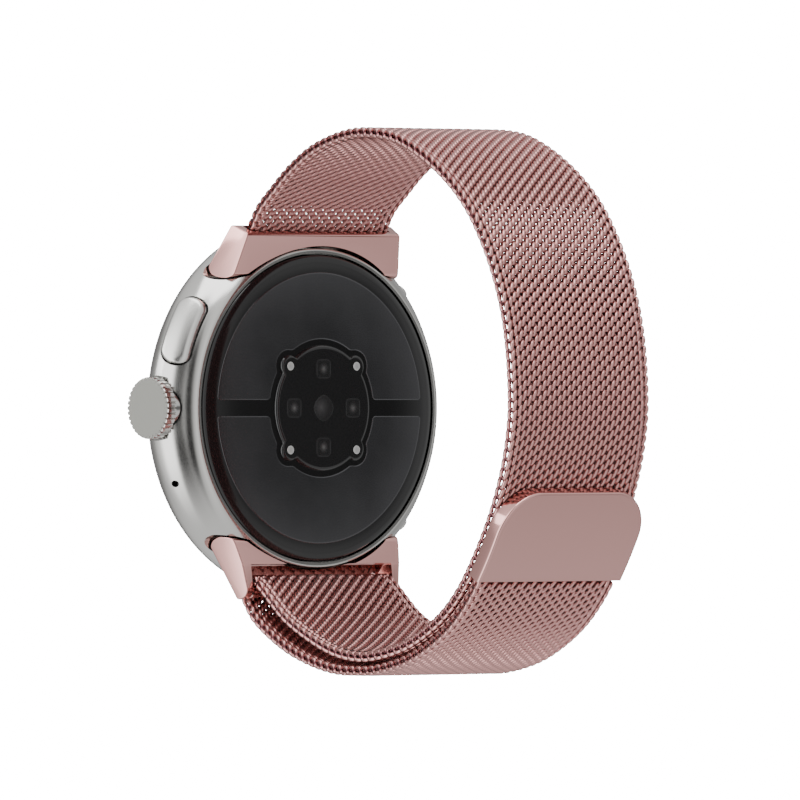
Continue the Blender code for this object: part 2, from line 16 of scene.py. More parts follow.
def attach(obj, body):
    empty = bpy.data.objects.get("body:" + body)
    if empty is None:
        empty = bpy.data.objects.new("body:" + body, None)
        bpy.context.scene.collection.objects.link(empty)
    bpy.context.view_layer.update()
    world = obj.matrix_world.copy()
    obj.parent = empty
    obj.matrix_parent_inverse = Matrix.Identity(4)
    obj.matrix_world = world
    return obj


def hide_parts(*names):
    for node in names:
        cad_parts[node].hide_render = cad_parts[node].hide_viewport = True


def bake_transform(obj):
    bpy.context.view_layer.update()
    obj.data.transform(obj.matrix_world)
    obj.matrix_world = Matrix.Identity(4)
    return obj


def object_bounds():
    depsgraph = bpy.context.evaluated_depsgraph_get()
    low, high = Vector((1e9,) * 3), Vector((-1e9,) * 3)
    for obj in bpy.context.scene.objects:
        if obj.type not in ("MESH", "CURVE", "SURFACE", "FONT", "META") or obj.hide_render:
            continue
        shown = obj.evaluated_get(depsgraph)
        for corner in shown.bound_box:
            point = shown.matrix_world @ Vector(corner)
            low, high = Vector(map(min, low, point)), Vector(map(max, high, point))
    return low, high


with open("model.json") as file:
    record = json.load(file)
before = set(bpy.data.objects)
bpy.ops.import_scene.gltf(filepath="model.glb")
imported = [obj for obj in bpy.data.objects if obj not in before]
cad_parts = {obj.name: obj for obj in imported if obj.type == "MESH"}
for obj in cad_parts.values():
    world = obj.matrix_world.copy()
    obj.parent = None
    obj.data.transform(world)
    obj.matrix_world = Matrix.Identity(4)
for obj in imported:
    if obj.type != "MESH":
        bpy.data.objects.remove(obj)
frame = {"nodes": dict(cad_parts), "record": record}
cad_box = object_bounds()


# Case: one ring of stainless steel, turned to a soft outward curve and bead blasted to a satin skin.
# Milled into it are the two band channels, the crown's seat, the button's pocket and the sound holes.
MM = 0.001
DRIFT = 6.0  # size of the patches in which a surface is a little smoother or rougher
CAVITY_R = 16.2
LEDGE_R = 15.4
REAR_SEAT_R = 17.2
CRYSTAL_SEAT_R = 18.1
REAR_LEDGE_Y = (-2.75, -3.3)
CRYSTAL_SHELF_Y = -7.5
CASE_OUTSIDE = [
    (REAR_SEAT_R, -1.0), (17.7, -1.05), (18.4, -1.6), (19.0, -2.3), (19.7, -3.15), (20.2, -4.0),
    (20.5, -4.85), (20.6, -5.7), (20.35, -6.4), (19.8, -7.1), (19.1, -7.7), (18.5, -8.15),
]
CROWN_Y = -5.0
KNOB_R = 3.45
KNOB_X = (20.2, 21.6)
STEM_END = 20.7
COLLAR_R = 2.65
CROWN_BORE_R = 1.95
CUT_R = 23.0  # where cuts from outside begin
BUTTON_ANGLE, BUTTON_Y = 26.0, -3.5
BUTTON_LENGTH, BUTTON_WIDTH = 8.0, 2.8
PLUNGER_Y = -4.2
LATCH_ANGLES = {"release_button_upper": 139.0, "release_button_lower": -139.0}
LATCH_R = 1.0
ADAPTER_HALF, ADAPTER_Z = 11.25, 20.0  # half length at y = 0 and this height
SPREAD, SLANT = 0.12, 0.29  # an adapter's end goes out by these for each mm down and each mm from the wrist
UPPER_ADAPTER = [
    (-4.6, 15.6), (-4.2, 14.85), (-3.4, 14.5), (-2.4, 14.35), (-1.65, 14.5), (-1.15, 14.85), (0.15, 19.3),
    (-2.1, 20.35),
]
LOWER_ADAPTER = [
    (-1.15, -14.75), (-1.6, -14.35), (-3.0, -14.2), (-3.9, -14.65), (-4.3, -15.3), (-1.45, -21.3),
    (-0.45, -20.9), (0.0, -20.2), (-0.4, -17.2),
]
CHANNEL_CORE_R = 17.7


def srgb(code):
    """A hex colour as linear light: straight up to 0.04045, then the sRGB curve's power of 2.4."""
    values = np.array([int(code[i : i + 2], 16) for i in (1, 3, 5)]) / 255
    linear = np.where(values <= 0.04045, values / 12.92, ((values + 0.055) / 1.055) ** 2.4)
    return (*linear.tolist(), 1.0)


def add(tree, kind, inputs=None, **settings):
    """A new node of this kind. Each input is given a value, or is linked from another node's socket."""
    node = tree.nodes.new(kind)
    for key, value in settings.items():
        setattr(node, key, value)
    for key, value in (inputs or {}).items():
        if isinstance(value, bpy.types.NodeSocket):
            tree.links.new(value, node.inputs[key])
        else:
            node.inputs[key].default_value = value
    return node


def finish(name, colour, metallic, roughness, extra=None):
    """A material and its Principled shader; constants go straight onto the shader's sockets."""
    material = bpy.data.materials.new(name)
    material.use_nodes = True
    shader = material.node_tree.nodes["Principled BSDF"]
    values = {"Base Color": srgb(colour), "Metallic": metallic, "Roughness": roughness, **(extra or {})}
    for key, value in values.items():
        shader.inputs[key].default_value = value
    return material, material.node_tree, shader


def grained(tree, shader, grain, depth, spread=None):
    """Fine grain of this size in mm as bump, and a slow drift of roughness within the spread."""
    where = add(tree, "ShaderNodeTexCoord").outputs["Object"]
    noise = add(tree, "ShaderNodeTexNoise", {"Vector": where, "Scale": 1 / (grain * MM), "Detail": 2.0})
    height = noise.outputs["Fac"]
    bump = add(tree, "ShaderNodeBump", {"Height": height, "Strength": depth, "Distance": 1e-5})
    tree.links.new(bump.outputs["Normal"], shader.inputs["Normal"])
    if spread:
        drift = add(tree, "ShaderNodeTexNoise", {"Vector": where, "Scale": 1 / (DRIFT * MM), "Detail": 3.0})
        limits = {"Value": drift.outputs["Fac"], "From Min": 0.3, "From Max": 0.7}
        limits.update({"To Min": spread[0], "To Max": spread[1]})
        value = add(tree, "ShaderNodeMapRange", limits).outputs["Result"]
        tree.links.new(value, shader.inputs["Roughness"])


def flowing(points, spans):
    """A Catmull-Rom curve: on each span a cubic meets both points along the chords of their neighbours."""
    points = np.asarray(points, float)
    line = np.concatenate([2 * points[:1] - points[1:2], points, 2 * points[-1:] - points[-2:-1]])
    a, b, c, d = (line[i : len(line) - 3 + i, None] for i in range(4))
    t = np.linspace(0, 1, spans, endpoint=False)[None, :, None]
    curve = 2 * b + (c - a) * t + (2 * a - 5 * b + 4 * c - d) * t**2 + (3 * b - a - 3 * c + d) * t**3
    return np.concatenate([curve.reshape(-1, points.shape[1]) / 2, points[-1:]])


def grid_faces(rows, columns, rows_meet=False, columns_meet=False):
    """Quads between neighbours of a grid numbered row by row; a way that meets joins last to first."""
    row = np.arange(rows if rows_meet else rows - 1)[:, None]
    column = np.arange(columns if columns_meet else columns - 1)[None, :]
    next_row, next_column = (row + 1) % rows, (column + 1) % columns
    corners = [(row, column), (row, next_column), (next_row, next_column), (next_row, column)]
    quads = [np.broadcast_to(r * columns + c, (row.size, column.size)) for r, c in corners]
    return np.stack(quads, -1).reshape(-1, 4)


def solid(name, points, faces, material, sharp=35):
    """A mesh object from points in mm. Points that meet are merged, then faces are turned outwards."""
    mesh = bpy.data.meshes.new(name)
    mesh.from_pydata((np.reshape(points, (-1, 3)) * MM).tolist(), [], faces)
    bm = bmesh.new()
    bm.from_mesh(mesh)
    bmesh.ops.remove_doubles(bm, verts=bm.verts[:], dist=1e-7)
    bmesh.ops.recalc_face_normals(bm, faces=bm.faces[:])
    bm.to_mesh(mesh)
    bm.free()
    mesh.materials.append(material)
    mesh.shade_smooth()
    mesh.set_sharp_from_angle(angle=math.radians(sharp))
    obj = bpy.data.objects.new(name, mesh)
    bpy.context.scene.collection.objects.link(obj)
    return obj


def radial(degrees, y=0.0):
    """Axes at height y: local X is +Y of the watch, Y the tangent and Z outwards at this angle."""
    angle = math.radians(degrees)
    axes = [(0, 1, 0), (-math.sin(angle), 0, math.cos(angle)), (math.cos(angle), 0, math.sin(angle))]
    return np.array([0.0, y, 0.0]), np.array(axes)


def about_y(x=0.0, z=0.0):
    """Axes whose local Z is +Y of the watch, on a line through this x and z."""
    return np.array([x, 0.0, z]), np.array([(1, 0, 0), (0, 0, -1), (0, 1, 0)])


def turned(name, profile, material, place=None, steps=96):
    """A closed profile of (radius r, height h) carried once round as (r cos a, r sin a, h)."""
    origin, axes = place or about_y()
    angle = np.linspace(0, 2 * math.pi, steps, endpoint=False)[:, None]
    radius, height = np.asarray(profile, float).T[:, None]
    local = np.stack([radius * np.cos(angle), radius * np.sin(angle), height + 0 * angle], -1)
    faces = grid_faces(steps, len(profile), True, True).reshape(steps, -1, 4)
    off_axis = (radius[0] > 0) | (np.roll(radius[0], -1) > 0)
    return solid(name, local @ axes + origin, faces[:, off_axis].reshape(-1, 4).tolist(), material)


def rounded(outline, radius, steps=6):
    """A closed outline with each corner P swapped for the curve (1-t)^2 A + 2t(1-t) P + t^2 B.

    A and B lie on the corner's two sides, a radius away from it, or nearly half way on a short side."""
    corners = np.asarray(outline, float)
    before, after = np.roll(corners, 1, axis=0) - corners, np.roll(corners, -1, axis=0) - corners
    lengths = [np.linalg.norm(side, axis=1)[:, None] for side in (before, after)]
    starts, ends = (
        corners + side / length * np.minimum(radius, 0.45 * length)
        for side, length in zip((before, after), lengths)
    )
    t = np.linspace(0, 1, steps)[None, :, None]
    ends_part = (1 - t) ** 2 * starts[:, None] + t**2 * ends[:, None]
    return (ends_part + 2 * t * (1 - t) * corners[:, None]).reshape(-1, 2)


def grown(outline, gap):
    """An outline with each point moved by gap along the mean of its two sides' outward normals."""
    points = np.asarray(outline, float)
    ahead = np.roll(points, -1, axis=0) - points
    area = (points[:, 0] * np.roll(points[:, 1], -1) - np.roll(points[:, 0], -1) * points[:, 1]).sum()
    normal = np.stack([ahead[:, 1], -ahead[:, 0]], 1) * np.sign(area)
    normal /= np.linalg.norm(ahead, axis=1)[:, None]
    mean = normal + np.roll(normal, 1, axis=0)
    mean /= np.linalg.norm(mean, axis=1)[:, None]
    return points + mean * gap / (mean * normal).sum(1)[:, None]


def bar_of(name, outline, half, edge, material):
    """A (y, z) outline carried along X to +-half, which is a length or a function of the outline.

    The ends are rounded: at an angle a the outline is inset by edge (1 - cos a), edge (1 - sin a) short."""
    arc = np.linspace(0, math.pi / 2, 5)
    inset, short = edge * (1 - np.cos(arc)), edge * (1 - np.sin(arc))
    rings = []
    for side, steps in ((-1, range(4, -1, -1)), (1, range(5))):
        for i in steps:
            ring = grown(outline, -inset[i])
            ends = half(ring) if callable(half) else half
            rings.append(np.column_stack([side * (ends - short[i]) + 0 * ring[:, 0], ring]))
    count = len(outline)
    faces = grid_faces(len(rings), count, False, True).tolist()
    faces += [list(range(count)), list(range((len(rings) - 1) * count, len(rings) * count))]
    return solid(name, np.stack(rings), faces, material)


def adapter_half(outline):
    """Half length of an adapter at each (y, z): half + spread (20 - |z|) - slant y."""
    return ADAPTER_HALF + SPREAD * (ADAPTER_Z - np.abs(outline[:, 1])) - SLANT * outline[:, 0]


def channel_half(outline):
    """The channel runs out through the case's skin at both ends."""
    return adapter_half(outline) + 1.5


def pill_rings(length, width, rings, place):
    """Rings of a long hole or button, each (share of the half width, height above the place)."""
    arc = np.linspace(0, math.pi, 25)
    straight = (length - width) / 2
    side = np.linspace(straight, -straight, 9)[1:-1]
    flat = np.ones(len(side))
    x = np.concatenate([np.cos(arc), -flat, -np.cos(arc), flat]) * width / 2
    y_round, y_straight = np.sin(arc) * width / 2, np.full(len(arc), straight)
    y = np.concatenate([y_round, 0 * flat, -y_round, 0 * flat])
    base = np.concatenate([y_straight, side, -y_straight, side[::-1]])
    origin, axes = place
    local = [np.column_stack([x * share, base + y * share, height + 0 * x]) for share, height in rings]
    return np.stack(local) @ axes + origin


def pill(name, length, width, low, high, material, place):
    points = pill_rings(length, width, [(0, low), (1, low), (1, high), (0, high)], place)
    return solid(name, points, grid_faces(4, points.shape[1], False, True).tolist(), material)


def cut(obj, *tools, operation="DIFFERENCE"):
    """The Boolean of obj with the other solids, which are then taken out of the scene."""
    for tool in tools:
        modifier = obj.modifiers.new("cut", "BOOLEAN")
        modifier.operation = operation
        modifier.solver = "EXACT"
        modifier.object = tool
    result = bpy.data.meshes.new_from_object(obj.evaluated_get(bpy.context.evaluated_depsgraph_get()))
    obj.modifiers.clear()
    obj.data = result
    for tool in tools:
        bpy.data.objects.remove(tool)
    obj.data.shade_smooth()
    obj.data.set_sharp_from_angle(angle=math.radians(32))
    return obj


def fitted(obj, body, slot, *nodes):
    """The piece rides on its CAD body and stands for these CAD nodes, which are hidden. The slot is not used.
    """
    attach(obj, body)
    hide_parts(*nodes)
    return obj


# Bead-blasted stainless steel: the tiny dimples, about 0.1 mm, spread each reflection into a soft band.
blasted_steel, tree, shader = finish("blasted_stainless_steel", "#c3c2bf", 1.0, 0.17)
grained(tree, shader, 0.1, 0.1, (0.15, 0.19))

inside = [
    (CRYSTAL_SEAT_R, -8.12), (CRYSTAL_SEAT_R, CRYSTAL_SHELF_Y), (CAVITY_R, CRYSTAL_SHELF_Y),
    (CAVITY_R, REAR_LEDGE_Y[1]), (LEDGE_R, REAR_LEDGE_Y[1]), (LEDGE_R, REAR_LEDGE_Y[0]),
    (REAR_SEAT_R, REAR_LEDGE_Y[0]),
]
case_skin = flowing(CASE_OUTSIDE, 5)
case = turned("case_blasted", case_skin.tolist() + inside, blasted_steel, steps=360)
at_crown = (np.array([0.0, CROWN_Y, 0.0]), np.array([(0, 1, 0), (0, 0, 1), (1, 0, 0)]))
seat = COLLAR_R + 0.14
mouth = KNOB_R + 0.15
mouth_x = KNOB_X[0] - 0.45  # leaves room for the crown's press
crown_hole = [
    (0, 14.5), (CROWN_BORE_R, 14.5), (CROWN_BORE_R, 18.2), (seat, 18.2), (seat, mouth_x), (mouth, mouth_x),
    (mouth, CUT_R), (0, CUT_R),
]
tools = [turned("crown_hole", crown_hole, blasted_steel, at_crown, 72)]
for side, outline in (("upper", UPPER_ADAPTER), ("lower", LOWER_ADAPTER)):
    channel = bar_of(f"{side}_channel", rounded(grown(outline, 0.2), 0.4), channel_half, 0.1, blasted_steel)
    core = [(0.0, 1.0), (CHANNEL_CORE_R, 1.0), (CHANNEL_CORE_R, -14.0), (0.0, -14.0)]
    tools.append(cut(channel, turned("channel_core", core, blasted_steel, steps=180)))
pocket = (BUTTON_LENGTH + 0.4, BUTTON_WIDTH + 0.4, 17.8, CUT_R)
tools.append(pill("button_pocket", *pocket, blasted_steel, radial(BUTTON_ANGLE, BUTTON_Y)))
hole = [(0, 15), (0.85, 15), (0.85, 18.5), (0, 18.5)]
tools.append(turned("plunger_hole", hole, blasted_steel, radial(BUTTON_ANGLE, PLUNGER_Y), 24))
for name, angle in LATCH_ANGLES.items():
    hole = [(0, 15), (0.6, 15), (0.6, 17.9), (LATCH_R + 0.15, 17.9), (LATCH_R + 0.15, 22), (0, 22)]
    tools.append(turned(f"{name}_hole", hole, blasted_steel, radial(angle, PLUNGER_Y), 48))
hole = [(0, 15), (0.4, 15), (0.4, 22), (0, 22)]
tools.append(turned("microphone_hole", hole, blasted_steel, radial(-24.5, -4.0), 32))
tools.append(pill("speaker_port", 4.5, 0.8, 15, 22, blasted_steel, radial(180.0, -4.6)))
cut(case, *tools)
fitted(case, "watch_head", "silver_steel", "case_shell")


# Front glass: one dome of hardened glass, ground and polished, printed black behind the screen.
# The screen is off, so only the edge of the lit area shows as a slightly greyer round.
DOME = [
    (18.0, -8.25), (17.0, -9.05), (15.5, -9.95), (13.0, -11.0), (10.0, -11.7), (6.0, -12.2), (0.0, -12.4),
]
dome_skin = flowing(DOME, 6)
dome_back = [(0.0, -9.6), (13.0, -9.6), (15.6, -8.5), (16.6, -7.9), (18.0, -7.9)]
# Polished glass over black print: dark, with one sharp clear reflection and nothing under it.
clear = {"IOR": 1.5, "Coat Weight": 1.0, "Coat Roughness": 0.02}
black_glass, tree, shader = finish("polished_glass_over_black_print", "#060607", 0.0, 0.04, clear)
where = add(tree, "ShaderNodeTexCoord").outputs["Object"]
flat = add(tree, "ShaderNodeVectorMath", {0: where, 1: (1.0, 0.0, 1.0)}, operation="MULTIPLY")
radius = add(tree, "ShaderNodeVectorMath", {0: flat.outputs[0]}, operation="LENGTH").outputs["Value"]
SCREEN_R = (14.9, 15.1)
limits = {"Value": radius, "From Min": SCREEN_R[0] * MM, "From Max": SCREEN_R[1] * MM}
outside = add(tree, "ShaderNodeMapRange", limits).outputs["Result"]
tones = {"Factor": outside, "A": srgb("#0b0b0d"), "B": srgb("#030303")}
tint = add(tree, "ShaderNodeMix", tones, data_type="RGBA")
tree.links.new(tint.outputs["Result"], shader.inputs["Base Color"])
dome = turned("front_dome", dome_skin.tolist() + dome_back, black_glass, steps=180)
fitted(dome, "watch_head", "crystal_glass", "front_crystal")


# Rear cover: a disc of glossy black glass-filled ceramic, pressed into the case, that radio gets through.
# Two half-round steel electrodes lie in it, and a raised window with four ears covers the sensors.
COVER_R = 17.1
REAR_FACE = [
    (5.5, -0.36), (7.2, -0.36), (9.0, -0.37), (11.0, -0.44), (13.2, -0.56), (15.2, -0.71), (16.4, -0.84),
]
ELECTRODE_R = (7.6, 15.15)
STRIP_HALF = 0.85
WINDOW_R = 7.0
PIN_AT = (4.9, 4.65)
PIN_R = 0.5
EAR_R = 1.25
LED_AT = 4.35

# Glazed ceramic, glossy black: almost no colour of its own, only what it mirrors.
glaze = {"Coat Weight": 0.2, "Coat Roughness": 0.05}
black_ceramic, tree, shader = finish("glazed_black_ceramic", "#0b0b0c", 0.0, 0.09, glaze)
grained(tree, shader, 0.5, 0.015, (0.07, 0.11))
rear_skin = flowing(REAR_FACE, 6).tolist()
rear_edge = [(16.75, -0.93), (16.95, -1.02), (17.06, -1.15), (COVER_R, -1.3), (COVER_R, -2.4), (5.6, -2.4)]
rear_disc = turned("rear_disc", rear_skin + rear_edge, black_ceramic, steps=240)
fitted(rear_disc, "watch_head", "rear_black", "rear_cover")


def rear_height(radius):
    """Height y of the rear face at a radius, read off its turned profile."""
    radii, heights = np.array(rear_skin).T
    return np.interp(radius, radii, heights)


def roll_off(distance, radius):
    """How far a rounded rim has dropped at this distance in from the edge: r - sqrt(r^2 - (r - d)^2)."""
    short = np.clip(radius - distance, 0, radius)
    return radius - np.sqrt(radius**2 - short**2)


def ear_reach(angle, ear):
    """Polar radius of the outer side of the ear nearest to this angle, or 0 where the ray misses it."""
    distance, at = math.hypot(*PIN_AT), math.atan2(PIN_AT[1], PIN_AT[0])
    folded = np.arctan2(np.abs(np.sin(angle)), np.abs(np.cos(angle))) - at
    across = distance * np.sin(folded)
    reach = distance * np.cos(folded) + np.sqrt(np.clip(ear**2 - across**2, 0, None))
    return np.where(np.abs(across) < ear, reach, 0)


def softened(values, reach):
    """A running mean over the neighbours on both sides of a closed loop."""
    return sum(np.roll(values, i) for i in range(-reach, reach + 1)) / (2 * reach + 1)


def eased(count, ends):
    """Shares from 0 to 1, crowded at both ends: t - ends sin(2 pi t) / (2 pi)."""
    t = np.linspace(0, 1, count)
    return t - ends * np.sin(2 * math.pi * t) / (2 * math.pi)


def slab(name, top, bottom, material):
    """A closed solid from two grids of the same size, with quads round their four borders."""
    rows, columns = top.shape[:2]
    faces = grid_faces(rows, columns)
    index = np.arange(rows * columns).reshape(rows, columns)
    border = np.concatenate([index[0, :-1], index[:-1, -1], index[-1, :0:-1], index[:0:-1, 0]])
    after = np.roll(border, -1)
    wall = np.stack([border, after, after + rows * columns, border + rows * columns], 1)
    everything = np.concatenate([faces, faces[:, ::-1] + rows * columns, wall])
    return solid(name, np.stack([top, bottom]), everything.tolist(), material)


# Stainless steel with a dark vapour-deposited coat: still a metal, so it mirrors the room, but in charcoal.
dark_coat, tree, shader = finish("dark_coated_steel", "#5a5a5c", 1.0, 0.2)
grained(tree, shader, 0.3, 0.03, (0.18, 0.23))

CORNER_R, RIM_R, PROUD = 0.5, 0.16, 0.04
across = 2 * eased(181, 0.85)[None, :] - 1
along = eased(41, 0.9)[:, None]
radius = ELECTRODE_R[0] + along * (ELECTRODE_R[1] - ELECTRODE_R[0]) + 0 * across
inner = np.full_like(radius, ELECTRODE_R[0])
for _ in range(3):
    rim = np.minimum(radius - inner, ELECTRODE_R[1] - radius)
    strip = STRIP_HALF + roll_off(rim, CORNER_R)
    half_turn = math.pi / 2 - np.arcsin(strip / radius)
    angle = math.pi / 2 + across * half_turn
    inner = np.maximum(ELECTRODE_R[0], ear_reach(angle, EAR_R + 0.5))
    inner = (inner + np.roll(inner, 1, 1) + np.roll(inner, -1, 1)) / 3
    radius = inner + along * (ELECTRODE_R[1] - inner)
edge = np.minimum(rim, (1 - np.abs(across)) * half_turn * radius)
height = rear_height(radius) + PROUD - roll_off(edge, RIM_R)
for side, sign in (("upper", 1), ("lower", -1)):
    flat = [radius * np.cos(angle), radius * np.sin(angle) * sign]
    top, bottom = (np.stack([flat[0], y, flat[1]], -1) for y in (height, np.full_like(height, -1.2)))
    plate = slab(f"half_round_{side}", top, bottom, dark_coat)
    fitted(plate, "watch_head", "electrode_steel", f"electrode_{side}")

# Sensor window: moulded clear plastic, dyed nearly black, with a soft rounded rim that catches the light.
sensor_black, tree, shader = finish("dyed_optical_plastic", "#161617", 0.0, 0.1, {"IOR": 1.55})
grained(tree, shader, 0.8, 0.01, (0.09, 0.13))
angle = np.linspace(0, 2 * math.pi, 1440, endpoint=False)
reach = softened(np.maximum(WINDOW_R, ear_reach(angle, EAR_R)), 3)
RIM = 0.45
inward = RIM * (1 - np.sin(np.linspace(0, math.pi / 2, 8)))[::-1]
rings = [(0 * reach, 0.0), (reach * 0.5, 0.0), (reach - RIM - 0.04, 0.0)]
rings += [(reach - d, -roll_off(d, RIM) * 0.8) for d in inward[::-1]]
rings += [(reach, -0.7), (0 * reach, -0.7)]
points = np.stack([np.stack([r * np.cos(angle), y + 0 * angle, r * np.sin(angle)], -1) for r, y in rings])
faces = grid_faces(len(rings), len(angle), False, True).tolist()
window = solid("sensor_island", points, faces, sensor_black)
fitted(window, "watch_head", "rear_black", "sensor_window")


def square_pad(name, x, z, size, corner, y, material):
    """A thin plate on the window: a superellipse disc |x|^n + |z|^n = 1, squarer for a larger n."""
    turn = np.linspace(0, 2 * math.pi, 96, endpoint=False)
    reach = size / 2 / (np.abs(np.cos(turn)) ** corner + np.abs(np.sin(turn)) ** corner) ** (1 / corner)
    shares = ((0.0, y), (0.5, y), (0.92, y), (1.0, y - 0.012), (1.0, y - 0.3), (0.0, y - 0.3))
    east, north = reach * np.cos(turn), reach * np.sin(turn)
    loops = [np.stack([x + s * east, h + 0 * turn, z + s * north], -1) for s, h in shares]
    return solid(name, np.stack(loops), grid_faces(len(loops), len(turn), False, True).tolist(), material)


# Light windows: clear spots in the dye over the emitters, each with a pale die in its middle.
def emitter_window(name, x, z, size, core):
    """Dark plastic that turns greyer towards a small soft core at the middle of the spot."""
    material, tree, shader = finish(name, "#1c1c1d", 0.0, 0.12, {"IOR": 1.5})
    where = add(tree, "ShaderNodeTexCoord").outputs["Object"]
    off = add(tree, "ShaderNodeVectorMath", {0: where, 1: (x * MM, 0.0, z * MM)}, operation="SUBTRACT")
    flat = add(tree, "ShaderNodeVectorMath", {0: off.outputs[0], 1: (1.0, 0.0, 1.0)}, operation="MULTIPLY")
    radius = add(tree, "ShaderNodeVectorMath", {0: flat.outputs[0]}, operation="LENGTH").outputs["Value"]
    limits = {"Value": radius, "From Min": 0.0, "From Max": size * MM, "To Min": 1.0, "To Max": 0.0}
    ramp = add(tree, "ShaderNodeMapRange", limits)
    soft = add(tree, "ShaderNodeMath", {0: ramp.outputs["Result"], 1: 2.5}, operation="POWER")
    tones = {"Factor": soft.outputs[0], "A": srgb("#202021"), "B": srgb(core)}
    tint = add(tree, "ShaderNodeMix", tones, data_type="RGBA")
    tree.links.new(tint.outputs["Result"], shader.inputs["Base Color"])
    return material


for side, x, z in (("top", 0, 1), ("bottom", 0, -1), ("left", -1, 0), ("right", 1, 0)):
    material = emitter_window(f"light_window_{side}_dye", x * LED_AT, z * LED_AT, 0.9, "#6a6a6a")
    pad = square_pad(f"light_window_{side}", x * LED_AT, z * LED_AT, 2.1, 5, 0.012, material)
    fitted(pad, "watch_head", "crystal_glass", f"led_{side}")
lens_dye = emitter_window("lens_dye", 0.4, 0.1, 2.2, "#4d4d4e")
lens = square_pad("middle_lens", 0, 0, 2.9, 1.7, 0.016, lens_dye)
fitted(lens, "watch_head", "crystal_glass", "photodiode")

# Charging contacts: plated pins with polished flat heads, one in each ear.
plated_pin, tree, shader = finish("plated_contact", "#d8d8d6", 1.0, 0.3)
grained(tree, shader, 0.15, 0.05)
for i, (x, z) in enumerate((x * PIN_AT[0], z * PIN_AT[1]) for x, z in ((-1, -1), (-1, 1), (1, -1), (1, 1))):
    head = [(0, 0.03), (PIN_R - 0.08, 0.03), (PIN_R - 0.02, 0.02), (PIN_R, -0.05), (PIN_R, -2.9), (0, -2.9)]
    pin = turned(f"contact_{i + 1}", head, plated_pin, about_y(x, z), 32)
    fitted(pin, "watch_head", "contact_metal", f"charge_pin_{i + 1}")


# Crown: a turned knob with 35 straight teeth cut round it, on a polished collar; its end is blasted flat.
CROWN_TEETH = 35
TOOTH_DEPTH = 0.26
BORE_R, COLLAR_X = 1.1, 18.65
# Polished stainless steel: hard, bright reflections.
polished_steel, tree, shader = finish("polished_stainless_steel", "#d6d5d2", 1.0, 0.13)
grained(tree, shader, 0.3, 0.02)
angle = np.linspace(0, 2 * math.pi, CROWN_TEETH * 12, endpoint=False)
phase = np.abs((angle * CROWN_TEETH / (2 * math.pi)) % 1 - 0.5) * 2
groove = np.clip((phase - 0.62) / 0.38, 0, 1) ** 0.7
low, high = KNOB_X
knob_rings = [
    (0, STEM_END, 0), (BORE_R, STEM_END, 0), (BORE_R, COLLAR_X, 0), (COLLAR_R - 0.15, COLLAR_X, 0),
    (COLLAR_R, COLLAR_X + 0.15, 0), (COLLAR_R, low - 0.02, 0), (KNOB_R - 0.5, low, 0),
    (KNOB_R - 0.12, low + 0.02, 0.6), (KNOB_R - 0.03, low + 0.08, 0.9), (KNOB_R, low + 0.2, 1),
    (KNOB_R, high - 0.2, 1), (KNOB_R - 0.02, high - 0.14, 1), (KNOB_R - 0.08, high - 0.1, 1),
    (0, high - 0.1, 0),
]
end_rings = [
    (0, high - 0.1, 0), (KNOB_R - 0.1, high - 0.1, 1), (KNOB_R - 0.07, high - 0.05, 1),
    (KNOB_R - 0.1, high, 1), (0, high, 0),
]
# Blasted flat end: a matt, even grey from every side.
blasted_end, tree, shader = finish("blasted_crown_end", "#b4b4ae", 1.0, 0.55)
grained(tree, shader, 0.08, 0.3)
origin, axes = at_crown


def toothed(name, rings, material):
    """A stack of rings (radius, x, share): the radius loses TOOTH_DEPTH times share times groove."""
    loops = []
    for r, x, share in rings:
        wave = r - TOOTH_DEPTH * share * groove
        loops.append(np.stack([wave * np.cos(angle), wave * np.sin(angle), x + 0 * angle], -1))
    faces = grid_faces(len(rings), len(angle), False, True)
    return solid(name, np.stack(loops) @ axes + origin, faces.tolist(), material, 25)


knob = toothed("knurled_knob", knob_rings, polished_steel)
fitted(knob, "crown", "silver_steel", "crown_knob")
cap = toothed("crown_end", end_rings, blasted_end)
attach(cap, "crown")


# Side button and strap releases: pill and round buttons of the same steel, polished a little finer.
# The pill's face follows the curve of the case, a touch proud of it. A plunger reaches in from its back.
BUTTON_PROUD = 0.45
button_steel, tree, shader = finish("fine_blasted_steel", "#cfcecb", 1.0, 0.24)
grained(tree, shader, 0.1, 0.08)
at_button = radial(BUTTON_ANGLE, BUTTON_Y)


def case_radius(y):
    """Radius of the case's skin at a height y, read off its turned profile."""
    return np.interp(-y, -case_skin[:, 1], case_skin[:, 0])


shares = np.concatenate([[0, 0.35, 0.6], 1 - 0.3 * (1 - np.sin(np.linspace(0, math.pi / 2, 8)))])
flat_rings, floor_rings = (
    pill_rings(BUTTON_LENGTH, BUTTON_WIDTH, rings, (np.zeros(3), np.eye(3)))
    for rings in ([(share, 0.0) for share in shares], [(1, 18.15), (0, 18.15)])
)
drop = roll_off((1 - shares) * BUTTON_WIDTH / 2, 0.42)[:, None]
skin = case_radius(BUTTON_Y + flat_rings[..., 0]) + BUTTON_PROUD - drop
flat_rings[..., 2] = np.sqrt(skin**2 - flat_rings[..., 1] ** 2)
rings = np.concatenate([flat_rings, floor_rings]) @ at_button[1] + at_button[0]
faces = grid_faces(len(rings), rings.shape[1], False, True).tolist()
button = solid("side_pill", rings, faces, button_steel)
rod = [(0, 14.8), (0.7, 14.8), (0.7, 18.5), (0, 18.5)]
stalk = turned("stalk", rod, button_steel, radial(BUTTON_ANGLE, PLUNGER_Y), 32)
fitted(cut(button, stalk, operation="UNION"), "side_button", "silver_steel", "side_button")
for name, angle in LATCH_ANGLES.items():
    rod = [(0, 15.4), (0.45, 15.4), (0.45, 18.6)]
    head = rod + [(LATCH_R, 18.6), (LATCH_R, 19.9), (0.95, 20.03), (0.85, 20.1), (0, 20.14)]
    release = turned(f"{name}_cap", head, button_steel, radial(angle, PLUNGER_Y), 48)
    fitted(release, name, "silver_steel", name)


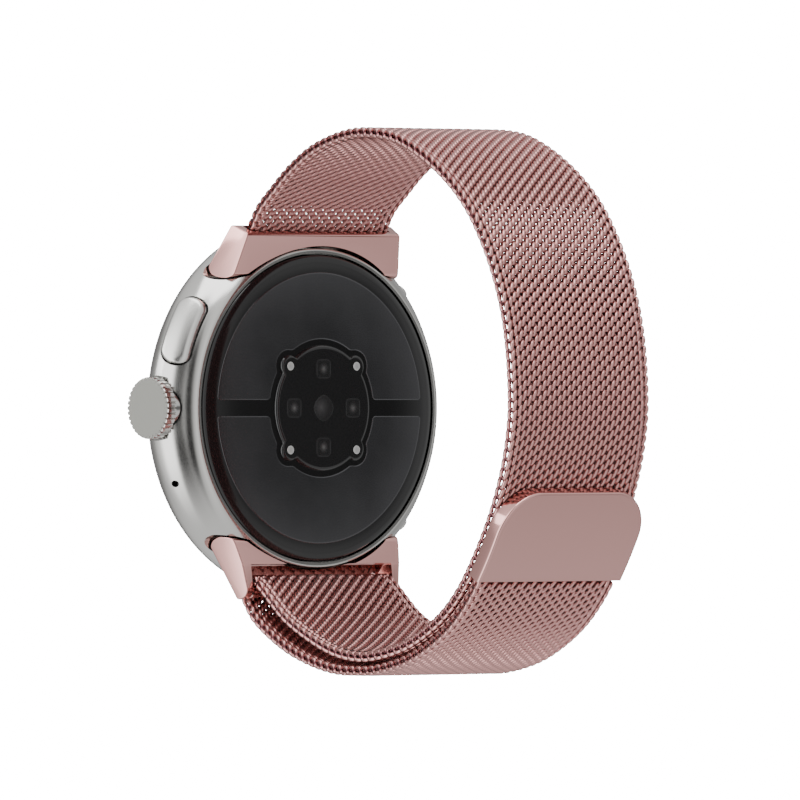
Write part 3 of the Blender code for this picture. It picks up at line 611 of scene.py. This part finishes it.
# Band adapters: two steel bars, cast, polished and plated rose gold, that slide into the case's channels.
# Each has a slot open towards the band, with a fine pin at the top and a bar at the bottom across it.
CHEEK_INSIDE = 10.4
UPPER_SLOT = [(-2.57, 18.1), (-1.13, 18.6), (0.22, 20.75), (-1.22, 21.45)]
LOWER_SLOT = [(0.8, -17.2), (-1.6, -17.35), (-2.9, -18.9), (-4.4, -19.3), (-4.4, -23.0), (1.5, -23.0)]
ADAPTER_CORE = [(0.0, 1.0), (18.0, 1.0), (18.0, -14.0), (0.0, -14.0)]
UPPER_PIN, UPPER_PIN_R = (-1.62, 18.95), 0.35
LOWER_BAR, LOWER_BAR_R = (-0.8, -20.4), 0.65
# Polished rose gold plate: a pink mirror, pale where it is lit and wine-dark where it isn't.
rose_plate, tree, shader = finish("polished_rose_gold_plate", "#d9a6a0", 1.0, 0.12)
grained(tree, shader, 0.4, 0.02, (0.1, 0.14))
lugs = (("upper", UPPER_ADAPTER, UPPER_SLOT), ("lower", LOWER_ADAPTER, LOWER_SLOT))
for side, outline, slot_outline in lugs:
    adapter = bar_of(f"{side}_lug", rounded(outline, 0.35, 7), adapter_half, 0.12, rose_plate)
    core = turned("core", ADAPTER_CORE, rose_plate, steps=240)
    slot_tool = bar_of("slot", rounded(slot_outline, 0.4, 6), CHEEK_INSIDE, 0.05, rose_plate)
    cut(adapter, core, slot_tool)
    fitted(adapter, "watch_head", "rose_gold_steel", f"{side}_adapter")
for name, (y, z), radius in (("upper_pin", UPPER_PIN, UPPER_PIN_R), ("lower_bar", LOWER_BAR, LOWER_BAR_R)):
    length = CHEEK_INSIDE - 0.1
    bevelled = [(radius - 0.1, length), (radius, length - 0.1)]
    profile = [(0, -length)] + [(r, -x) for r, x in bevelled] + bevelled[::-1] + [(0, length)]
    place = (np.array([0.0, y, z]), at_crown[1])
    fitted(turned(f"{name}_rod", profile, rose_plate, place, 32), "watch_head", "rose_gold_steel", name)


# Woven band: flat coils of steel wire, each as wide as the band, screwed into one another and rolled flat.
# Every second coil is half a turn aside, so that its loops lie between its neighbours'. Plated rose gold.
FOLD_R = 1.35
FOLD_ANGLES = (58.0, 216.0)
MAIN_RUN = [
    (-1.38, 19.4), (-0.74, 20.5), (0.45, 22.2), (2.69, 24.14), (5.24, 26.2), (8.46, 28.16), (11.86, 29.42),
    (15.66, 30.2), (19.36, 30.2), (22.56, 29.72), (25.27, 28.75), (27.9, 27.45), (30.5, 25.8), (33.0, 23.8),
    (35.1, 21.6), (36.8, 19.2), (38.3, 16.6), (39.5, 14.0), (40.6, 10.9), (41.3, 7.8), (41.75, 4.2),
    (41.9, 0.0), (41.5, -3.4), (40.7, -6.7), (39.45, -10.1), (37.9, -13.3), (36.0, -16.5), (33.8, -19.6),
    (31.1, -22.3), (28.0, -24.35), (24.4, -26.0), (20.3, -27.0), (16.7, -27.3), (12.6, -26.7), (8.4, -25.1),
    (4.8, -23.2), (2.5, -21.35), (0.9, -19.95),
]
TAIL_START = [(-0.38, -23.17), (2.2, -25.0), (5.63, -26.75), (9.75, -28.1), (13.3, -28.75)]
TAIL_OFFSET = 1.57
TAIL_LIES_FROM = (16.7, -27.3)
CLASP_ENDS = [(35.15, -17.7), (40.1, -8.4)]
COIL_PITCH = 0.54
FOLD_PITCH = 0.44  # the coils crowd together where the band turns round the bar
TURN_PITCH = 1.45
TURNS = 13
END_TURN, END_PITCH = 0.75, 0.16  # each coil ends in a nearly closed ring
LOOP_HALF = (0.52, 0.36)  # half height of a loop along the band, and through it
WIRE_R = 0.25
AROUND, PER_TURN = 6, 10


class Route:
    """A smooth line in (y, z) by length: at(s) gives its point and its normal, on the left of its way."""

    def __init__(self, points):
        line = flowing(points, 24)
        steps = np.linalg.norm(np.diff(line, axis=0), axis=1)
        self.lengths = np.concatenate([[0], np.cumsum(steps)])
        ahead = np.gradient(line, axis=0)
        ahead /= np.linalg.norm(ahead, axis=1)[:, None]
        self.line, self.left = line, np.stack([-ahead[:, 1], ahead[:, 0]], 1)
        self.length = self.lengths[-1]

    def at(self, s):
        point = [np.interp(s, self.lengths, self.line[:, i]) for i in range(2)]
        left = [np.interp(s, self.lengths, self.left[:, i]) for i in range(2)]
        inside = np.clip(s, 0, self.length)
        beyond = s - inside
        return np.stack([point[0] + beyond * left[1], point[1] - beyond * left[0]], -1), np.stack(left, -1)

    def nearest(self, point):
        return self.lengths[np.linalg.norm(self.line - np.array(point), axis=1).argmin()]


def squashed(wave):
    """A wave with flattened crests, tanh(2.2 w) / tanh(2.2), as the rollers leave the coils."""
    return np.tanh(2.2 * wave) / math.tanh(2.2)


def coils(name, route, starts, first, material):
    """Coils across the band: at a turn's angle a, s = start + loop sin a, h = loop cos a, squashed.

    X runs on evenly, but hardly at all on the end turns. A six-sided wire follows each coil."""
    samples = round((TURNS + 2 * END_TURN) * PER_TURN) + 1
    turn = np.linspace(-END_TURN, TURNS + END_TURN, samples)[None, :]
    inner = np.clip(turn, 0, TURNS)
    odd = (np.arange(len(starts)) + first)[:, None] % 2
    x = (inner - TURNS / 2) * TURN_PITCH + (turn - inner) * END_PITCH + (odd - 0.5) * TURN_PITCH / 2
    a = 2 * math.pi * turn
    s = np.asarray(starts)[:, None] + LOOP_HALF[0] * np.sin(a)
    h = LOOP_HALF[1] * squashed(np.cos(a)) + 0 * s
    point, left = route.at(s)
    forward = np.stack([left[..., 1], -left[..., 0]], -1)
    centre = np.concatenate([x[..., None], point + left * h[..., None]], -1)
    along_wire = np.gradient(centre, axis=1)
    along_wire /= np.linalg.norm(along_wire, axis=-1)[..., None]
    radial_2d = forward * np.sin(a)[..., None] + left * np.cos(a)[..., None]
    out = np.concatenate([0 * x[..., None], radial_2d], -1)
    out -= along_wire * (out * along_wire).sum(-1)[..., None]
    out /= np.linalg.norm(out, axis=-1)[..., None]
    side = np.cross(along_wire, out)
    round_wire = np.arange(AROUND) * 2 * math.pi / AROUND
    points = centre[..., None, :] + WIRE_R * (
        np.cos(round_wire)[:, None] * out[..., None, :] + np.sin(round_wire)[:, None] * side[..., None, :]
    )
    one = grid_faces(samples, AROUND, False, True)
    each = samples * AROUND
    faces = (one[None] + (np.arange(len(starts)) * each)[:, None, None]).reshape(-1, 4)
    caps = [list(range(i * each, i * each + AROUND))[::-1] for i in range(len(starts))]
    caps += [list(range((i + 1) * each - AROUND, (i + 1) * each)) for i in range(len(starts))]
    mesh = bpy.data.meshes.new(name)
    mesh.from_pydata((points.reshape(-1, 3) * MM).tolist(), [], faces.tolist() + caps)
    # Share of the loop's height at each point. The wire's material turns it into painted shade between the
    # coils and a painted highlight on the crests.
    depth = mesh.attributes.new("depth", "FLOAT", "POINT")
    share = np.repeat((np.abs(h) / LOOP_HALF[1]).reshape(-1), AROUND)
    depth.data.foreach_set("value", share.astype(np.float32))
    mesh.shade_smooth()
    mesh.materials.append(material)
    obj = bpy.data.objects.new(name, mesh)
    bpy.context.scene.collection.objects.link(obj)
    return obj


# Rose gold plated wire with light and shade painted into its colour: a pale tone on the crests as a painted
# highlight, and a wine-dark tone on the sides between the coils as painted shade.
rose_wire, tree, shader = finish("rose_gold_wire_painted_shade", "#c48d87", 1.0, 0.24)
wire_crest_share = add(tree, "ShaderNodeAttribute", attribute_name="depth").outputs["Fac"]
painted_light_share = add(tree, "ShaderNodeMapRange", {"Value": wire_crest_share, "From Min": 0.2, "From Max": 0.95})
# Painted light and shade: the wine-dark A tone goes where the wire lies deep between the coils, and the pale
# B tone goes on the crests.
tones = {"Factor": painted_light_share.outputs["Result"], "A": srgb("#6e4448"), "B": srgb("#cb9793")}
tint = add(tree, "ShaderNodeMix", tones, data_type="RGBA")
tree.links.new(tint.outputs["Result"], shader.inputs["Base Color"])
grained(tree, shader, 0.2, 0.02)


def around_bar(degrees):
    """Points on the fold's centre line, a circle about the lower bar."""
    angle = np.radians(np.atleast_1d(degrees))
    return np.array(LOWER_BAR) + FOLD_R * np.stack([np.cos(angle), np.sin(angle)], 1)


first, last = FOLD_ANGLES
main_route = Route(MAIN_RUN + around_bar(first).tolist())
main_starts = np.arange(0.45, main_route.length - 0.2, COIL_PITCH)
thirds = np.array_split(np.arange(len(main_starts)), 3)
for name, rows in zip(("band_top", "band_middle", "band_bottom"), thirds):
    part = coils(name, main_route, main_starts[rows], rows[0], rose_wire)
    fitted(part, "watch_head", "woven_rose_gold", "mesh_main")

fold_route = Route(around_bar(np.linspace(first - 5, last + 5, 24)))
fold_starts = np.arange(0.5, fold_route.length - 0.2, FOLD_PITCH)
fold = coils("band_fold", fold_route, fold_starts, len(main_starts), rose_wire)
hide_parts("mesh_fold")
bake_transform(fold)

lying = np.linspace(main_route.nearest(TAIL_LIES_FROM), main_route.nearest(CLASP_ENDS[0]), 14)
point, left = main_route.at(lying)
tail_route = Route(np.concatenate([around_bar(last), TAIL_START, point + left * TAIL_OFFSET]))
tail_starts = np.arange(0.35, tail_route.length - 0.2, COIL_PITCH)
tail = coils("band_tail", tail_route, tail_starts, len(main_starts) + len(fold_starts), rose_wire)
fitted(tail, "strap_tail", "woven_rose_gold", "mesh_tail")


# Clasp: a box pressed from steel sheet, curved to the wrist, that holds three magnets over the band's tail.
# Its outer face is brushed satin, and its edge is polished; both are plated rose gold.
CLASP_LAYER = (0.75, 2.45)
CLASP_HALF_WIDTH = 10.6
CLASP_CORNER = 5.0
CLASP_EDGE = 0.3
# Satin rose gold: brushed across the band, so that light smears and the tone drifts from end to end.
satin_rose, tree, shader = finish("satin_rose_gold_plate", "#c99b96", 1.0, 0.3)
where = add(tree, "ShaderNodeTexCoord").outputs["Object"]
strokes = add(tree, "ShaderNodeMapping", {"Vector": where, "Scale": (300.0, 9000.0, 9000.0)})
brushed = add(tree, "ShaderNodeTexNoise", {"Vector": strokes.outputs[0], "Scale": 1.0, "Detail": 2.0})
bump = add(tree, "ShaderNodeBump", {"Height": brushed.outputs["Fac"], "Strength": 0.1, "Distance": 1e-5})
tree.links.new(bump.outputs["Normal"], shader.inputs["Normal"])

clasp_s = [main_route.nearest(end) for end in CLASP_ENDS[::-1]]
length = clasp_s[1] - clasp_s[0]
along = eased(61, 0.9)[:, None] * length
across = 2 * eased(61, 0.9)[None, :] - 1
short = np.clip(CLASP_CORNER - along, 0, CLASP_CORNER)
half = CLASP_HALF_WIDTH - CLASP_CORNER + np.sqrt(CLASP_CORNER**2 - short**2)
half = np.maximum(half, 0.2)
edge = np.minimum(np.minimum(along, length - along), (1 - np.abs(across)) * half)
beside = np.clip(np.abs(across) * half - CLASP_HALF_WIDTH + CLASP_CORNER, 0, None)
corner_edge = CLASP_CORNER - np.hypot(beside, np.clip(CLASP_CORNER - along, 0, None))
edge = np.where(along < CLASP_CORNER, np.minimum(edge, np.maximum(corner_edge, 0)), edge)
point, left = main_route.at(clasp_s[0] + along[:, 0])


def clasp_sheet(offset):
    """The clasp's outline laid on the band's curve, this far out from its centre line at each point."""
    y, z = (point[:, None, i] + left[:, None, i] * offset for i in range(2))
    return np.stack([across * half + 0 * y, y, z], -1)


top = clasp_sheet(CLASP_LAYER[1] - roll_off(edge, CLASP_EDGE))
clasp = slab("clasp_box", top, clasp_sheet(np.full_like(edge, CLASP_LAYER[0])), satin_rose)
clasp.data.materials.append(rose_plate)
normals = np.zeros(len(clasp.data.polygons) * 3, np.float32)
clasp.data.polygons.foreach_get("normal", normals)
centres = np.zeros(len(clasp.data.polygons) * 3, np.float32)
clasp.data.polygons.foreach_get("center", centres)
middle = main_route.at(np.mean(clasp_s))[1]
facing = normals.reshape(-1, 3)[:, 1:] @ middle
clasp.data.polygons.foreach_set("material_index", (facing < 0.8).astype(np.int32))
fitted(clasp, "strap_tail", "rose_gold_steel", "clasp_shell")


# What the case holds: boards, battery, motor, gaskets and pins that keep their CAD shapes.
# Each takes the finish of its stock material.
spring_steel, tree, shader = finish("rolled_spring_steel", "#a9a9ab", 1.0, 0.32)
grained(tree, shader, 0.15, 0.1, (0.28, 0.38))
seal_rubber, tree, shader = finish("moulded_seal_rubber", "#17171a", 0.0, 0.75)
grained(tree, shader, 0.2, 0.4, (0.7, 0.8))
moulded_plastic, tree, shader = finish("moulded_black_plastic", "#232326", 0.0, 0.5)
grained(tree, shader, 0.3, 0.3, (0.45, 0.55))
solder_mask, tree, shader = finish("green_solder_mask", "#12492c", 0.0, 0.4, {"Coat Weight": 0.3})
grained(tree, shader, 0.6, 0.2, (0.35, 0.5))
gilt, tree, shader = finish("gilt_brass", "#d2a95c", 1.0, 0.3)
grained(tree, shader, 0.15, 0.08, (0.26, 0.36))
stock = {
    "plain_steel": spring_steel, "seal_rubber": seal_rubber, "inner_plastic": moulded_plastic,
    "circuit_board": solder_mask, "contact_metal": gilt, "display_black": black_glass,
}
slots = {row["node"]: row["material_slot"] for row in frame["record"]["subparts"]}
for name, node in frame["nodes"].items():
    if node.hide_render:
        continue
    node.data.materials.clear()
    node.data.materials.append(stock[slots[name]])


# Stage: a round pale floor that curves up into a wall, soft lamps, and a camera level with the watch.
low_corner, high_corner = cad_box
floor_z = min(low_corner[2], high_corner[2])
FLOOR_R, WALL_R, WALL_H = 1.7, 2.4, 3.0
WHITE = 20.0  # brightness that the camera sees as plain white
arc = np.linspace(0, math.pi / 2, 17)
bend = WALL_R - FLOOR_R
stage_r = np.concatenate([[0, FLOOR_R / 2], FLOOR_R + bend * np.sin(arc), [WALL_R]])
stage_z = np.concatenate([[0, 0], bend * (1 - np.cos(arc)), [WALL_H]]) + floor_z
angle = np.linspace(0, 2 * math.pi, 128, endpoint=False)
round_z = np.stack([np.cos(angle), np.sin(angle), 0 * angle], -1)
rings = [r * round_z + (0, 0, z) for r, z in zip(stage_r, stage_z)]
# Matt white paint, lit so strongly that it shows as plain white.
lit = {"Emission Color": srgb("#ffffff"), "Emission Strength": WHITE}
pale, tree, shader = finish("pale_paint", "#f4f4f2", 0.0, 0.9, lit)
grained(tree, shader, 5.0, 0.05)
faces = grid_faces(len(rings), len(angle), False, True).tolist()
floor = solid("studio_floor", np.stack(rings) / MM, faces, pale)
floor.visible_glossy = floor.visible_diffuse = floor.visible_shadow = False

VIEW = np.array([0.667, 0.745, 0.0])
RIGHT = np.array([-0.745, 0.667, 0.0])
UP = np.array([0.0, 0.0, 1.0])


def lamp(name, degrees, elevation, distance, size, power):
    """A square softbox aimed at the watch, at this angle round Z and height above the floor's plane."""
    turn, lift = math.radians(degrees), math.radians(elevation)
    light = bpy.data.lights.new(name, "AREA")
    light.shape, light.size, light.size_y = "RECTANGLE", *size
    light.energy = power
    obj = bpy.data.objects.new(name, light)
    away = np.array([math.cos(turn) * math.cos(lift), math.sin(turn) * math.cos(lift), math.sin(lift)])
    obj.location = away * distance
    obj.rotation_euler = Vector(away).to_track_quat("Z", "Y").to_euler()
    obj.visible_camera = False
    bpy.context.scene.collection.objects.link(obj)


lamp("top_softbox", 50, 75, 0.8, (0.5, 0.5), 3.0)
lamp("front_softbox", -20, 25, 0.9, (0.3, 0.3), 1.0)

# Room: white behind the watch, and round it soft walls of light and dark, by angle round Z in degrees.
# A small dark panel straight behind the watch's back is what the flat black window mirrors.
WALLS = [
    (-180, 0.5), (-85, 0.3), (-58, 0.4), (-38, 0.6), (-18, 1.6), (-4, 3.8), (20, 3.8), (27, 0.3),
    (31, 0.02), (47, 0.02), (53, 0.9), (66, 1.4), (85, 0.9), (108, 1.0), (120, 0.9), (143, 0.7),
    (160, 0.8), (180, 0.5),
]
BRIGHTEST = 4.0
CEILING, GROUND = 1.2, 1.05
PANEL_AT, PANEL_HALF = 131.0, (5.0, 14.0)  # the dark panel's middle, and its soft edge
PANEL_HEIGHT = (0.06, 0.22)
PANEL_DEPTH = 0.8
world = bpy.data.worlds.new("studio")
bpy.context.scene.world = world
world.use_nodes = True
tree = world.node_tree
tree.nodes.clear()
seen = add(tree, "ShaderNodeLightPath").outputs["Is Camera Ray"]
way = add(tree, "ShaderNodeSeparateXYZ", {0: add(tree, "ShaderNodeTexCoord").outputs["Generated"]}).outputs
turn = add(tree, "ShaderNodeMath", {0: way["Y"], 1: way["X"]}, operation="ARCTAN2").outputs[0]
share = add(tree, "ShaderNodeMapRange", {"Value": turn, "From Min": -math.pi, "From Max": math.pi})
walls = add(tree, "ShaderNodeValToRGB", {"Fac": share.outputs["Result"]})
stops = walls.color_ramp.elements
while len(stops) < len(WALLS):
    stops.new(0.5)
for stop, (degrees, level) in zip(stops, WALLS):
    stop.position = degrees / 360 + 0.5
    stop.color = (level / BRIGHTEST,) * 3 + (1.0,)
limits = {"From Min": -0.1, "From Max": 0.1, "To Min": GROUND / BRIGHTEST, "To Max": CEILING / BRIGHTEST}
ends = add(tree, "ShaderNodeMapRange", {"Value": way["Z"], **limits})
steep = add(tree, "ShaderNodeMath", {0: way["Z"]}, operation="ABSOLUTE").outputs[0]
limits = {"Value": steep, "From Min": 0.4, "From Max": 0.95}
lifted = add(tree, "ShaderNodeMapRange", limits, interpolation_type="SMOOTHSTEP").outputs["Result"]
tones = {"Factor": lifted, "A": walls.outputs["Color"], "B": ends.outputs["Result"]}
shade = add(tree, "ShaderNodeMix", tones, data_type="RGBA")
off_panel = add(tree, "ShaderNodeMath", {0: turn, 1: math.radians(PANEL_AT)}, operation="SUBTRACT")
aside = add(tree, "ShaderNodeMath", {0: off_panel.outputs[0]}, operation="ABSOLUTE").outputs[0]
inner, outer = np.radians(PANEL_HALF)
fading = {"To Min": 1.0, "To Max": 0.0}
limits = {"Value": aside, "From Min": inner, "From Max": outer, **fading}
beside = add(tree, "ShaderNodeMapRange", limits, interpolation_type="SMOOTHSTEP").outputs["Result"]
limits = {"Value": steep, "From Min": PANEL_HEIGHT[0], "From Max": PANEL_HEIGHT[1], **fading}
above = add(tree, "ShaderNodeMapRange", limits, interpolation_type="SMOOTHSTEP").outputs["Result"]
panel = add(tree, "ShaderNodeMath", {0: beside, 1: above}, operation="MULTIPLY").outputs[0]
dimmed = add(tree, "ShaderNodeMath", {0: panel, 1: -PANEL_DEPTH, 2: 1.0}, operation="MULTIPLY_ADD")
level = add(tree, "ShaderNodeMath", {0: dimmed.outputs[0], 1: BRIGHTEST}, operation="MULTIPLY").outputs[0]
room = add(tree, "ShaderNodeBackground", {"Color": shade.outputs["Result"], "Strength": level})
white = add(tree, "ShaderNodeBackground", {"Strength": WHITE})
mixed = add(tree, "ShaderNodeMixShader", {0: seen, 1: room.outputs[0], 2: white.outputs[0]})
add(tree, "ShaderNodeOutputWorld", {"Surface": mixed.outputs[0]})

# Camera: long lens, level, a little over 40 degrees round from the back of the watch.
CAMERA_DISTANCE = 1.6
FRAME_WIDTH = 88.9 * MM  # width of the view at the watch
camera_data = bpy.data.cameras.new("camera")
camera_data.lens = camera_data.sensor_width * CAMERA_DISTANCE / FRAME_WIDTH
camera_data.clip_end = 20
camera = bpy.data.objects.new("camera", camera_data)
aim = (RIGHT * 8.48 + UP * 0.89) * MM
axes = np.column_stack([RIGHT, UP, VIEW, aim + VIEW * CAMERA_DISTANCE])
camera.matrix_world = Matrix([*axes.tolist(), [0, 0, 0, 1]])
bpy.context.scene.collection.objects.link(camera)
bpy.context.scene.camera = camera
